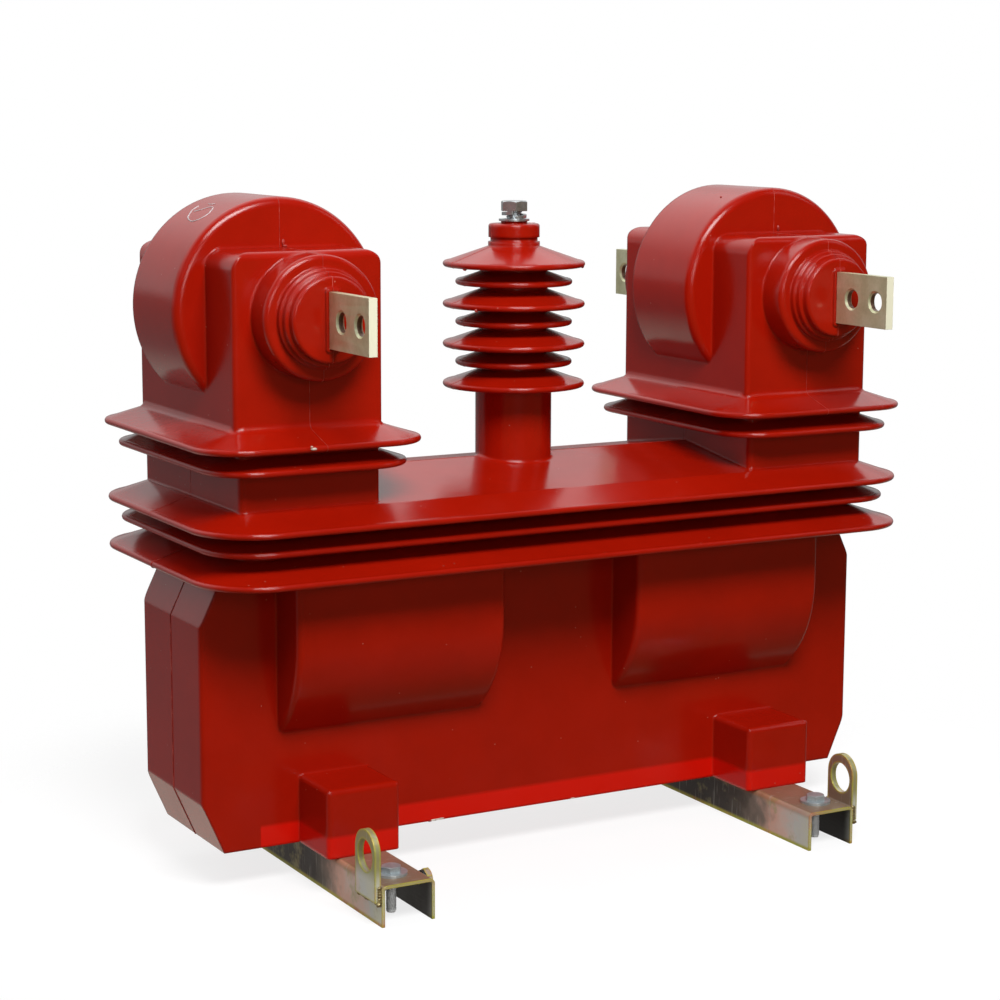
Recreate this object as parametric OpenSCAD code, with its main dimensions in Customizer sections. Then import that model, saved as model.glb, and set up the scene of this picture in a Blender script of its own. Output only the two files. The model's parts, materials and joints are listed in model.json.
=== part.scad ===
// Outdoor cast-resin combined instrument transformer for a three-phase line.
// Millimetres. +X along the length, -Y is the front, +Z up.
// The origin is the middle of the rails' underside.

/* [Base rails] */
// width of the folded channel
rail_w = 53; // [44:1:64]
// height of the folded channel
rail_h = 38; // [34:1:50]
// sheet thickness of the channel
rail_t = 3; // [2.5:0.5:4.5]
// outside bend radius of the channel
rail_bend = 5; // [5:0.5:8]
// length of each channel
rail_len = 454; // [440:2:500]
// distance of each channel from the middle
rail_x = 233.5; // [225:0.5:245]
// distance of the mounting slots from mid-depth
slot_y = 197; // [190:1:202]
// width of a mounting slot
slot_w = 12; // [11:0.5:14]
// end-to-end length of a mounting slot
slot_len = 24; // [20:1:26]

/* [Rail fittings] */
// shank diameter of the mounting bolts
mount_d = 10; // [8:1:10]
// across flats of the mounting bolt heads
mount_af = 17; // [16:0.5:19]
// height of the mounting bolt heads
mount_head_h = 5.5; // [5:0.5:8]
// shank length below the head
mount_len = 38; // [30:1:40]
// threaded length of the shank
mount_thread = 26; // [20:1:30]
// how far a rolled thread lies inside its plain shank, on the radius
thread_play = 0.2; // [0.05:0.05:0.3]
// outside diameter of the large washers
mount_washer_d = 30; // [28:1:32]
// thickness of the large washers
mount_washer_t = 2.5; // [2:0.5:3]
// how far the bolts sit outward from the middle of their slots
mount_shift = 2.5; // [0:0.5:5]
// width of a lifting eye plate
eye_w = 40; // [37:1:46]
// thickness of a lifting eye plate
eye_t = 6; // [5:0.5:8]
// hole diameter of a lifting eye
eye_d = 30; // [26:1:32]
// height of the eye hole above the floor
eye_h = 62; // [58:1:66]
// rise of the round end's middle above the hole
eye_cap = 4; // [0:0.5:6]
// distance of the eye from mid-depth
eye_y = 205; // [198:1:206]
// lower edge of the eye plate above the floor
eye_foot = 23; // [16:1:26]
// shank diameter of the earthing bolt
earth_d = 10; // [8:1:10]
// across flats of the earthing bolt head
earth_af = 17; // [15:0.5:17]
// height of the earthing bolt head
earth_head_h = 6; // [5:0.5:8]
// distance of the earthing bolt from mid-depth
earth_y = 199; // [192:1:208]
// height of the earthing bolt above the floor
earth_h = 29; // [26:0.5:30]
// thickness of the earthing washer
earth_washer_t = 2.5; // [2:0.5:4]

/* [Foot fixings] */
// shank diameter of the bolts that hold the rails
foot_d = 12; // [10:1:14]
// across flats of those bolts
foot_af = 18; // [17:0.5:21]
// head height of those bolts
foot_head_h = 7.5; // [6:0.5:9]
// washer diameter under those heads
foot_washer_d = 24; // [22:1:28]
// washer thickness under those heads
foot_washer_t = 2.5; // [2:0.5:3]
// outside diameter of the threaded inserts
insert_d = 22; // [18:1:26]
// length of the threaded inserts
insert_len = 40; // [30:1:48]
// how deep the bolts reach into the inserts
foot_grip = 26; // [20:1:28]
// clearance of a bolt in a plain hole, on the radius
hole_clear = 0.75; // [0.5:0.05:1]

/* [Cast body] */
// length of the body between its end faces
body_len = 732; // [715:1:745]
// depth of the body between its flat faces
body_depth = 143; // [135:1:155]
// height of the lower end chamfers
body_chamfer_h = 48; // [40:1:56]
// run of the lower end chamfers
body_chamfer_x = 21; // [16:1:26]
// drop from the deck to where the ends start to lean in
shoulder_drop = 110.5; // [104:0.5:120]
// lean of the upper ends in degrees
body_lean = 25.8; // [20:0.1:30]
// corner radius of the body in plan
body_edge = 5; // [3:0.5:8]
// distance of each voltage bulge from the middle
bulge_x = 182; // [178:1:188]
// length of a voltage bulge
bulge_len = 216; // [205:1:222]
// radius of a voltage bulge
bulge_r = 119.5; // [114:0.5:122]
// drop from the deck to the bulge axis
bulge_drop = 121; // [117:1:127]
// rounding of the bulge ends
bulge_edge = 6; // [4:0.5:9]
// width of a foot block
foot_w = 74; // [66:1:80]
// distance of the foot block faces from mid-depth
foot_y = 135; // [128:1:142]
// height of a foot block
foot_h = 65; // [58:1:72]
// rounding of a foot block
foot_edge = 5; // [4:0.5:9]
// how far the foot blocks sit to the right of the rails' middle
foot_shift = 1.5; // [0:0.5:3]

/* [Body sheds and deck] */
// half length of the upper shed
upper_shed_x = 384.5; // [380:0.5:390]
// half depth of the upper shed
upper_shed_y = 160.5; // [156:0.5:164]
// corner radius of the upper and lower sheds
upper_shed_r = 63; // [58:1:68]
// drop from the deck to the rim of the upper shed
upper_shed_drop = 17.6; // [15:0.2:19]
// half length of the middle shed
middle_shed_x = 373.5; // [370:0.5:378]
// half depth of the middle shed
middle_shed_y = 148.5; // [145:0.5:152]
// corner radius of the middle shed
middle_shed_r = 55; // [50:1:60]
// drop from the deck to the rim of the middle shed
middle_shed_drop = 37.1; // [35:0.1:39]
// half length of the lower shed
lower_shed_x = 384; // [380:0.5:389]
// half depth of the lower shed
lower_shed_y = 162; // [158:0.5:166]
// drop from the deck to the rim of the lower shed
lower_shed_drop = 64.5; // [62:0.5:67]
// half length of the core between the sheds
core_x = 338.5; // [334:0.5:343]
// half depth of the core between the sheds
core_y = 114.5; // [111:0.5:118]
// height of the deck's lower edge above the body's base
deck_h = 325; // [315:0.5:335]
// width of the sloping border round the deck
deck_border = 38; // [34:0.5:42]
// pitch of the deck's slopes in degrees
deck_pitch = 7.8; // [6:0.1:9]
// thickness of the shed rims
rim_t = 6; // [5:0.2:7]
// slope of the shed tops in degrees
shed_slope = 18; // [15:0.5:20]
// slope of the shed undersides in degrees
under_slope = 14; // [10:0.5:16]

/* [Necks] */
// distance of each tower from the middle
tower_x = 274; // [271:0.5:277]
// half width of a neck
neck_x = 69.5; // [67:0.5:72]
// half depth of a neck
neck_y = 116.5; // [114:0.5:119]
// corner radius of a neck
neck_r = 6; // [4:0.5:10]
// height of the neck seat above the deck
neck_h = 57; // [55:0.5:60]
// half width of the neck shed
neck_shed_x = 99.5; // [96:0.5:102]
// half depth of the neck shed
neck_shed_y = 145.5; // [142:0.5:148]
// corner radius of the neck shed
neck_shed_r = 47; // [44:1:50]
// rim height of the neck shed above the deck
neck_shed_h = 35.3; // [34:0.1:36.5]

/* [Heads] */
// half width of the head box
box_x = 73; // [70:0.5:76]
// half depth of the head box
box_y = 114; // [111:0.5:117]
// corner radius of the head box in plan
box_r = 4; // [3:0.5:7]
// corner radius of the head shed where it meets the box
flare_corner = 9; // [7.5:0.5:12]
// height of the head box above its seat
box_h = 174; // [168:0.5:180]
// rounding of the upper long edges of the box
box_top_r = 17; // [12:0.5:22]
// rounding of the upper front and back edges of the box
box_front_r = 7; // [5:0.5:10]
// height of the barrel axis above the seat
axis_h = 116.5; // [114:0.5:119]
// radius of the barrel
barrel_r = 103; // [100:0.5:106]
// half length of the barrel
barrel_y = 52; // [50:0.5:56]
// rounding of the barrel's front rim
barrel_edge = 8; // [5:0.5:10]
// overhang of the head shed from the box
head_over = 38; // [35:0.5:40]
// rim height of the head shed below the seat
head_shed_drop = 1; // [0:0.1:2]
// fillet between the box and its shed
flare_r = 9; // [6:0.5:12]
// flange radius of the bushing
bush_flange_r = 56; // [53:0.5:58]
// flange length of the bushing
bush_flange_l = 30.5; // [27:0.5:33.5]
// radius of the second step of the bushing
bush_second_r = 44.7; // [43.5:0.1:47]
// reach of the second step from the box face
bush_second_l = 36; // [34.5:0.5:37.5]
// radius of the third step of the bushing
bush_third_r = 42; // [41:0.1:43]
// reach of the third step from the box face
bush_third_l = 42; // [40.5:0.5:43.5]
// radius of the bushing nose
bush_nose_r = 38.2; // [36:0.1:40]
// reach of the bushing nose from the box face
bush_nose_l = 50; // [47.5:0.5:52.5]
// reach of the raised pad from the bushing nose
pad_h = 1.5; // [1:0.5:4]
// margin of the pad round the bar
pad_margin = 3; // [2:0.5:5]

/* [Primary bars] */
// thickness of the bar
bar_t = 8; // [6:0.5:10]
// height of the bar
bar_h = 50; // [46:1:54]
// length of the bar
bar_len = 487; // [470:1:500]
// hole diameter in the bar
bar_hole_d = 17.5; // [14:0.5:18]
// widest diameter of the hole countersink
bar_sink_d = 21.5; // [19:0.5:23]
// distance of the outer hole from the bar end
bar_hole_end = 18; // [16:0.5:20]
// distance between the two holes
bar_hole_pitch = 36.5; // [34:0.5:38]

/* [Current transformers] */
// inner radius of the current winding
ct_inner_r = 42; // [40:1:44]
// outer radius of the current winding
ct_outer_r = 84; // [80:1:86]
// length of the current winding
ct_len = 76; // [70:1:80]
// thickness of the winding round the ring core
ct_wind_t = 4; // [3:0.5:6]

/* [Voltage transformers] */
// height of a core limb
limb_h = 44; // [40:1:46]
// depth of a core limb
limb_y = 50; // [44:1:52]
// length of the core window
window_x = 170; // [166:1:174]
// height of the core window
window_h = 80; // [78:1:84]
// radius of the secondary winding
vt_sec_r = 48; // [46:0.5:50]
// length of the secondary winding
vt_sec_len = 160; // [156:1:164]
// radius of the primary winding
vt_pri_r = 97; // [92:0.5:98]
// length of the primary winding
vt_pri_len = 150; // [140:1:154]

/* [Leads] */
// diameter of the high-voltage leads
hv_d = 8; // [6:0.5:10]
// distance of the high-voltage lead from mid-depth
hv_y = 78; // [72:1:80]
// diameter of the low-voltage leads
lv_d = 7; // [5:0.5:8]
// rise of the side leads above the winding axis
hv_rise = 46; // [40:1:50]
// rise of the middle lead above the winding axis
centre_rise = 66; // [60:1:72]
// distance of the low-voltage leads from mid-depth
lv_y = 32; // [31:0.5:33]

/* [Post] */
// radius of the post stem
stem_r = 37.7; // [36:0.1:39]
// fillet at the foot of the stem
stem_fillet = 5; // [3:0.5:7]
// radius of the post between its sheds
post_core_r = 33.5; // [32:0.1:35]
// radius of the large sheds
post_big_r = 70; // [66:0.5:73]
// radius of the small sheds
post_small_r = 57.6; // [55:0.2:60]
// height of the lowest large shed above the deck
post_first = 87.3; // [84:0.1:90]
// spacing of the large sheds
post_pitch = 39.3; // [38.5:0.1:40.5]
// height of a small shed above the large shed below it
post_offset = 21.7; // [20.5:0.1:22.5]
// number of large sheds
post_count = 4; // [3:1:5]
// slope of the post shed tops in degrees
post_slope = 19.3; // [17:0.1:21]
// slope of the post shed undersides in degrees
post_under = 8; // [5:0.5:10]
// radius of the collar above the top shed
collar_r = 25.5; // [24:0.1:27]
// height of the collar
collar_h = 4; // [3:0.5:6]
// radius of the groove under the cap
groove_r = 23.2; // [21:0.1:24]
// height of the groove
groove_h = 4.3; // [3:0.1:5]
// radius of the cap
cap_r = 25.2; // [24:0.1:27]
// height of the cap
cap_h = 13.2; // [11:0.1:15]
// radius of the boss on the cap
post_boss_r = 13; // [12:0.1:14]
// height of the boss on the cap
post_boss_h = 2.5; // [1.5:0.1:4]
// radius of the threaded insert in the post
post_insert_r = 11; // [10.5:0.1:12]
// length of the insert
post_insert_len = 58; // [50:1:64]
// shank diameter of the terminal bolt
post_bolt_d = 16; // [14:1:16]
// across flats of the terminal bolt
post_bolt_af = 24; // [22:0.5:25]
// head height of the terminal bolt
post_bolt_head = 10; // [8:0.5:11]
// how deep the terminal bolt reaches into the insert
post_bolt_grip = 28; // [20:1:34]
// diameter of the flat washer
post_washer_d = 30; // [28:0.5:32]
// thickness of the flat washer
post_washer_t = 2; // [1.5:0.5:3]
// outer diameter of the spring washer
spring_d = 24.5; // [23:0.5:26]
// thickness of the spring washer
spring_t = 3.4; // [3:0.1:4]
// clearance of the spring washer round the shank
spring_clear = 1; // [0.8:0.1:1.4]
// tilt of the open spring washer in degrees
spring_tilt = 10; // [6:0.5:12]

/* [Terminal box] */
// half width of the terminal box
tbox_x = 62; // [56:1:66]
// height of the terminal box floor above the body's base
tbox_z = 26; // [22:1:30]
// height of the terminal box
tbox_h = 106; // [96:1:116]
// reach of the terminal box from the body's back face
tbox_reach = 46; // [40:1:52]
// wall thickness of the terminal box
tbox_wall = 12; // [11:0.5:14]
// depth of the cavity floor behind the body's back face
tbox_floor = 8; // [5:0.5:12]
// thickness of the gasket
gasket_t = 2; // [1:0.5:3]
// thickness of the cover
cover_t = 3; // [2:0.5:4]
// corner radius of box and cover
tbox_r = 8; // [6:0.5:10]
// shank diameter of the cover screws
screw_d = 5; // [4:0.5:6]
// head diameter of the cover screws
screw_head_d = 9.5; // [8:0.5:10]
// head height of the cover screws
screw_head_h = 4; // [3:0.5:5]
// depth of the cover screws in the box wall
screw_grip = 16; // [12:1:20]
// diameter of the secondary studs
stud_d = 6; // [5:0.5:7]
// spacing of the secondary studs along the length
stud_dx = 24; // [20:0.5:26]
// spacing of the two stud rows
stud_dz = 34; // [30:1:38]
// free length of the secondary studs
stud_len = 24; // [20:1:28]
// embedded length of the secondary studs
stud_root = 20; // [16:1:24]
// across flats of the secondary nuts
nut_af = 10; // [9:0.5:11]
// height of the secondary nuts
nut_h = 5; // [4:0.5:6]
// diameter of the secondary washers
stud_washer_d = 12; // [11:0.5:13]
// thickness of the secondary washers
stud_washer_t = 1.6; // [1:0.2:2]
// thread radius of the cable gland
gland_r = 10; // [8:0.5:11]
// across flats of the cable gland
gland_af = 26; // [22:0.5:28]
// bore radius of the cable gland
gland_bore_r = 6; // [5:0.5:7]

/* [Hidden] */
$fn = 72;

base_z = rail_h;
deck_z = base_z + deck_h;
deck_lift = (upper_shed_r - deck_border) * tan(deck_pitch);
ridge_z = deck_z + (upper_shed_y - deck_border) * tan(deck_pitch);
seat_z = deck_z + neck_h;
axis_z = seat_z + axis_h;
body_shoulder = deck_h - shoulder_drop;
upper_shed_z = deck_z - upper_shed_drop;
middle_shed_z = deck_z - middle_shed_drop;
lower_shed_z = deck_z - lower_shed_drop;
coil_z = deck_z - bulge_drop;
body_hx = body_len / 2;
body_hy = body_depth / 2;
core_r = upper_shed_r - upper_shed_y + core_y;
shed_root = shed_under(lower_shed_z, lower_shed_y - core_y);
bush_face = box_y + bush_nose_l;
foot_mid = (body_hy + foot_y) / 2;
window_mid = coil_z - limb_h / 2 - window_h / 2;
tbox_mid = base_z + tbox_z + tbox_h / 2;
tbox_face = body_hy + tbox_reach;
tbox_deep = body_hy - tbox_floor;
post_top = deck_z + post_first + (post_count - 1) * post_pitch + rim_t / 2
  + (post_big_r - rim_t / 2 - collar_r) * tan(post_slope);
cap_z = post_top + collar_h + groove_h;
insert_top = cap_z + cap_h + post_boss_h;
washer_top = insert_top + post_washer_t;
spring_half = (spring_d / 2) * sin(spring_tilt) + (spring_t / 2) * cos(spring_tilt);
bolt_seat = washer_top + 2 * spring_half;
stud_y = tbox_deep;

// flat plan with round corners
module plan(hx, hy, r) {
  square([2 * (hx - r), 2 * hy], center = true);
  square([2 * hx, 2 * (hy - r)], center = true);
  for (sx = [-1, 1], sy = [-1, 1])
    translate([sx * (hx - r), sy * (hy - r)])
      circle(r);
}

// upright prism on a plan with round corners
module pillar(hx, hy, r, z0, z1) {
  translate([0, 0, z0])
    linear_extrude(z1 - z0)
      plan(hx, hy, r);
}

// height of the flat inner part of a shed's underside
function shed_under(zr, over) = zr + 0.05 * rim_t + (over + 3 - rim_t / 2) * tan(under_slope);

// height of the flat inner part of a shed's top
function shed_over(zr, over) = zr + 0.95 * rim_t + (over + 3 - rim_t / 2) * tan(shed_slope);

// section of a shed: x runs out from the corner centre, y is the height
module shed_section(r, over, zr, root_top, knee, lift = 0) {
  c = r - over - 3;
  e = r - rim_t / 2;
  under = shed_under(zr, over);
  polygon([[0, under], [c, under], [e, zr + 0.05 * rim_t], [e, zr + 0.95 * rim_t],
    [knee, root_top], [0, root_top + lift]]);
  translate([e, zr + rim_t / 2])
    circle(rim_t / 2);
}

// runs a section round a rectangle with round corners
module run_round(hx, hy, r) {
  for (i = [0, 1])
    mirror([i, 0, 0])
      translate([hx - r, 0, 0])
        rotate([90, 0, 0])
          linear_extrude(2 * (hy - r), center = true)
            children();
  for (i = [0, 1])
    mirror([0, i, 0])
      translate([0, hy - r, 0])
        rotate([90, 0, 90])
          linear_extrude(2 * (hx - r), center = true)
            children();
  for (i = [0, 1], j = [0, 1])
    mirror([i, 0, 0])
      mirror([0, j, 0])
        translate([hx - r, hy - r, 0])
          rotate_extrude(angle = 90)
            children();
}

// full plate of a shed with a sloping border
module shed(hx, hy, r, over, zr) {
  under = shed_under(zr, over);
  top = shed_over(zr, over);
  run_round(hx, hy, r)
    shed_section(r, over, zr, top, r - over - 3);
  translate([r - hx - 1, r - hy - 1, under])
    cube([2 * (hx - r + 1), 2 * (hy - r + 1), top - under]);
}

// upright outline with round upper corners
module arch(hw, r, z0, z1) {
  translate([-hw, z0])
    square([2 * hw, z1 - z0 - r]);
  translate([-hw + r, z0])
    square([2 * (hw - r), z1 - z0]);
  for (s = [-1, 1])
    translate([s * (hw - r), z1 - r])
      circle(r);
}

// block with round upright and upper edges
module soft_block(hx, hy, z0, z1, r_plan, r_side, r_front) {
  intersection() {
    pillar(hx, hy, r_plan, z0, z1);
    rotate([90, 0, 0])
      linear_extrude(2 * hy + 2, center = true)
        arch(hx, r_side, z0 - 1, z1);
    rotate([90, 0, 90])
      linear_extrude(2 * hx + 2, center = true)
        arch(hy, r_front, z0 - 1, z1);
  }
}

module hex(af, h) {
  cylinder(d = af / cos(30), h = h, $fn = 6);
}

module each_side() {
  children();
  mirror([1, 0, 0])
    children();
}

module four_ways() {
  for (i = [0, 1], j = [0, 1])
    mirror([i, 0, 0])
      mirror([0, j, 0])
        children();
}

// solids that the resin is cast round, right-hand set
module vt_core_outer() {
  translate([bulge_x, 0, window_mid])
    rotate([90, 0, 0])
      linear_extrude(limb_y, center = true)
        plan(window_x / 2 + limb_h, window_h / 2 + limb_h, 10);
}

module vt_window() {
  translate([bulge_x, 0, window_mid])
    cube([window_x, limb_y + 2, window_h], center = true);
}

module vt_core_solid() {
  difference() {
    vt_core_outer();
    vt_window();
  }
}

module coil(r, l) {
  translate([bulge_x - l / 2, 0, coil_z])
    rotate([0, 90, 0])
      cylinder(r = r, h = l);
}

module hv_lead_solid() {
  drop = coil_z + hv_rise;
  translate([tower_x, hv_y, drop])
    cylinder(d = hv_d, h = axis_z - bar_h / 2 - drop);
  translate([tower_x, hv_y, drop])
    sphere(d = hv_d);
  translate([bulge_x + vt_pri_len / 2, hv_y, drop])
    rotate([0, 90, 0])
      cylinder(d = hv_d, h = tower_x - bulge_x - vt_pri_len / 2);
}

module centre_lead_solid() {
  drop = coil_z + centre_rise;
  translate([0, 0, drop])
    cylinder(d = hv_d, h = insert_top - post_insert_len - drop);
  rotate([0, 90, 0])
    translate([-drop, 0, 0])
      cylinder(d = hv_d, h = 2 * (bulge_x - vt_pri_len / 2), center = true);
}

// one low-voltage lead from the current winding and one from the voltage winding
module lv_leads_solid() {
  lead_x = 1.5 * stud_dx;
  low_z = tbox_mid - stud_dz / 2;
  high_z = tbox_mid + stud_dz / 2;
  sec_x = bulge_x - vt_sec_len / 2;
  lv_rod([tower_x, lv_y, low_z], [0, 0, 0], axis_z - ct_outer_r - low_z);
  lv_rod([lead_x, lv_y, low_z], [0, 90, 0], tower_x - lead_x);
  lv_rod([lead_x, lv_y, low_z], [-90, 0, 0], tbox_deep - stud_root - lv_y);
  lv_rod([lead_x, lv_y, coil_z], [0, 90, 0], sec_x - lead_x);
  lv_rod([lead_x, lv_y, high_z], [0, 0, 0], coil_z - high_z);
  lv_rod([lead_x, lv_y, high_z], [-90, 0, 0], tbox_deep - stud_root - lv_y);
  for (p = [[tower_x, low_z], [lead_x, low_z], [lead_x, coil_z], [lead_x, high_z]])
    translate([p[0], lv_y, p[1]])
      sphere(d = lv_d);
}

module lv_rod(place, turn, l) {
  translate(place)
    rotate(turn)
      cylinder(d = lv_d, h = l);
}

module cast_body() {
  color([0.62, 0.05, 0.03])
    difference() {
      cast_body_skin();
      each_side()
        vt_core_solid();
      each_side()
        coil(vt_pri_r, vt_pri_len);
      each_side()
        coil(vt_sec_r, vt_sec_len);
      each_side()
        hv_lead_solid();
      each_side()
        lv_leads_solid();
      centre_lead_solid();
      post_insert_solid();
      four_ways()
        foot_insert_solid();
      terminal_cavity();
      stud_roots();
      screw_holes();
      gland_hole();
    }
}

module body_outline() {
  top = shed_root + 2 - base_z;
  lean = (top - body_shoulder) * tan(body_lean);
  low_x = body_hx - body_chamfer_x;
  polygon([[-low_x, 0], [low_x, 0], [body_hx, body_chamfer_h], [body_hx, body_shoulder],
    [body_hx - lean, top], [-body_hx + lean, top], [-body_hx, body_shoulder], [-body_hx, body_chamfer_h]]);
}

module body_block() {
  intersection() {
    translate([0, 0, base_z])
      rotate([90, 0, 0])
        linear_extrude(body_depth + 2, center = true)
          body_outline();
    pillar(body_hx, body_hy, body_edge, base_z - 1, shed_root + 4);
  }
}

module bulge() {
  translate([bulge_x, 0, coil_z])
    rotate([0, 90, 0])
      rotate([0, 0, -90])
        rotate_extrude(angle = 180)
          intersection() {
            plan(bulge_r, bulge_len / 2, bulge_edge);
            translate([0, -bulge_len / 2])
              square([bulge_r, bulge_len]);
          }
  translate([bulge_x, 0, 0])
    pillar(bulge_len / 2, bulge_r, bulge_edge, coil_z, shed_root + 2);
}

module foot_blocks() {
  for (s = [-1, 1])
    translate([s * rail_x + foot_shift, 0, 0])
      soft_block(foot_w / 2, foot_y, base_z, base_z + foot_h, foot_edge, foot_edge, foot_edge);
}

module post_skin() {
  rotate_extrude()
    post_section();
}

module post_section() {
  low_z = deck_z + post_first - rim_t / 2;
  translate([0, deck_z - 4])
    square([stem_r, post_first + 8]);
  translate([0, low_z])
    square([post_core_r, post_top - low_z - 10]);
  for (i = [0 : post_count - 1])
    post_shed(post_big_r, low_z + i * post_pitch, i == post_count - 1 ? collar_r : post_core_r - 2);
  for (i = [0 : post_count - 2])
    post_shed(post_small_r, low_z + post_offset + i * post_pitch, post_core_r - 2);
  translate([0, post_top - 1])
    square([collar_r, collar_h + 1]);
  translate([0, post_top + collar_h - 1])
    square([groove_r, groove_h + 2]);
  translate([0, cap_z])
    cap_section();
}

module cap_section() {
  square([cap_r, cap_h - 2.5]);
  square([cap_r - 2.5, cap_h]);
  square([post_boss_r, cap_h + post_boss_h]);
  translate([cap_r - 2.5, cap_h - 2.5])
    circle(2.5);
}

module post_shed(r, zr, inner) {
  e = r - rim_t / 2;
  polygon([[0, zr + 0.05 * rim_t + (e - post_core_r) * tan(post_under)],
    [post_core_r - 2, zr + 0.05 * rim_t + (e - post_core_r) * tan(post_under)],
    [e, zr + 0.05 * rim_t], [e, zr + 0.95 * rim_t],
    [inner, zr + 0.95 * rim_t + (e - inner) * tan(post_slope)],
    [0, zr + 0.95 * rim_t + (e - inner) * tan(post_slope)]]);
  translate([e, zr + rim_t / 2])
    circle(rim_t / 2);
}

module neck() {
  translate([tower_x, 0, 0]) {
    pillar(neck_x, neck_y, neck_r, deck_z - 8, seat_z);
    shed(neck_shed_x, neck_shed_y, neck_shed_r, neck_shed_y - neck_y, deck_z + neck_shed_h);
  }
}

module terminal_boss() {
  translate([0, body_hy - 10, tbox_mid])
    rotate([-90, 0, 0])
      linear_extrude(tbox_reach + 10)
        plan(tbox_x, tbox_h / 2, tbox_r);
}

module terminal_cavity() {
  translate([0, tbox_deep, tbox_mid])
    rotate([-90, 0, 0])
      linear_extrude(tbox_reach + tbox_floor + 1)
        plan(tbox_x - tbox_wall, tbox_h / 2 - tbox_wall, tbox_r);
}

module stud_spots() {
  for (i = [-1.5 : 1 : 1.5], j = [-0.5, 0.5])
    translate([i * stud_dx, 0, tbox_mid + j * stud_dz])
      children();
}

module stud_roots() {
  stud_spots()
    translate([0, stud_y - stud_root, 0])
      rotate([-90, 0, 0])
        cylinder(d = stud_d, h = stud_root + 1);
}

module screw_spots() {
  for (i = [-1, 1], j = [-1, 1])
    translate([i * (tbox_x - tbox_wall / 2), 0, tbox_mid + j * (tbox_h / 2 - tbox_wall / 2)])
      children();
}

module screw_holes() {
  screw_spots()
    translate([0, tbox_face - screw_grip, 0])
      rotate([-90, 0, 0])
        cylinder(d = screw_d, h = screw_grip + 1);
}

module gland_hole() {
  translate([0, body_hy + tbox_reach / 2, base_z + tbox_z - 1])
    cylinder(r = gland_r, h = tbox_wall + 2);
}

// upper shed, whose top is the deck: a low roof hipped at both ends
module deck_shed() {
  over = upper_shed_y - core_y;
  zr = upper_shed_z;
  under = shed_under(zr, over);
  run_round(upper_shed_x, upper_shed_y, upper_shed_r)
    shed_section(upper_shed_r, over, zr, deck_z, upper_shed_r - deck_border, deck_lift);
  translate([upper_shed_r - upper_shed_x - 1, upper_shed_r - upper_shed_y - 1, under])
    cube([2 * (upper_shed_x - upper_shed_r + 1), 2 * (upper_shed_y - upper_shed_r + 1), deck_z - under]);
  deck_roof(upper_shed_x - upper_shed_r, upper_shed_y - upper_shed_r);
}

module deck_roof(hx, hy) {
  intersection() {
    rotate([90, 0, 90])
      linear_extrude(2 * hx, center = true)
        gable(hy);
    rotate([90, 0, 0])
      linear_extrude(2 * hy, center = true)
        gable(hx);
  }
}

module gable(h) {
  polygon([[-h, deck_z - 5], [h, deck_z - 5], [h, deck_z + deck_lift],
    [0, deck_z + deck_lift + h * tan(deck_pitch)], [-h, deck_z + deck_lift]]);
}

// fillet between the stem and both slopes of the deck
module stem_foot() {
  reach = stem_r + 2 * stem_fillet;
  for (j = [0, 1])
    mirror([0, j, 0])
      intersection() {
        translate([0, 0, ridge_z])
          rotate([deck_pitch, 0, 0])
            rotate_extrude()
              stem_foot_section();
        translate([-reach, -reach, ridge_z - 20])
          cube([2 * reach, reach, 40]);
      }
}

module stem_foot_section() {
  difference() {
    translate([0, -4])
      square([stem_r + stem_fillet, 4 + stem_fillet]);
    translate([stem_r + stem_fillet - 0.9, stem_fillet - 0.3])
      circle(stem_fillet);
  }
}

module cast_body_skin() {
  union() {
    body_block();
    pillar(core_x, core_y, core_r, shed_root + 1, deck_z - 3);
    deck_shed();
    shed(middle_shed_x, middle_shed_y, middle_shed_r, middle_shed_y - core_y, middle_shed_z);
    shed(lower_shed_x, lower_shed_y, upper_shed_r, lower_shed_y - core_y, lower_shed_z);
    each_side()
      bulge();
    foot_blocks();
    each_side()
      neck();
    post_skin();
    stem_foot();
    terminal_boss();
  }
}

module head_box() {
  soft_block(box_x, box_y, seat_z, seat_z + box_h, box_r, box_top_r, box_front_r);
}

module barrel() {
  translate([0, barrel_y, axis_z])
    rotate([90, 0, 0])
      rotate_extrude() {
        square([barrel_r, 2 * barrel_y - barrel_edge]);
        square([barrel_r - barrel_edge, 2 * barrel_y]);
        translate([barrel_r - barrel_edge, 2 * barrel_y - barrel_edge])
          circle(barrel_edge);
      }
}

module step(r, l, e) {
  translate([0, -6]) {
    square([r, l + 6 - e]);
    square([r - e, l + 6]);
  }
  translate([r - e, l - e])
    circle(e);
}

module bushing() {
  translate([0, -box_y, axis_z])
    rotate([90, 0, 0]) {
      rotate_extrude() {
        step(bush_flange_r, bush_flange_l, 4.5);
        step(bush_second_r, bush_second_l, 1.2);
        step(bush_third_r, bush_third_l, 1.2);
        step(bush_nose_r, bush_nose_l, 2);
      }
      translate([0, 0, bush_nose_l - 2])
        linear_extrude(pad_h + 2)
          plan(bar_t / 2 + pad_margin, bar_h / 2 + pad_margin, 2.5);
    }
}

// concave run between the box wall and its shed
module flare_section() {
  e = flare_corner + head_over - rim_t / 2;
  root = seat_z - head_shed_drop + 0.95 * rim_t + (e - flare_corner) * tan(shed_slope);
  reach = flare_r * tan(45 - shed_slope / 2);
  difference() {
    polygon([[flare_corner - 3, root - 4], [flare_corner + reach, root - 4],
      [flare_corner + reach, root - reach * tan(shed_slope)],
      [flare_corner, root + reach], [flare_corner - 3, root + reach]]);
    translate([flare_corner + flare_r - 0.15, root + reach - 0.15])
      circle(flare_r);
  }
}

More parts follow.
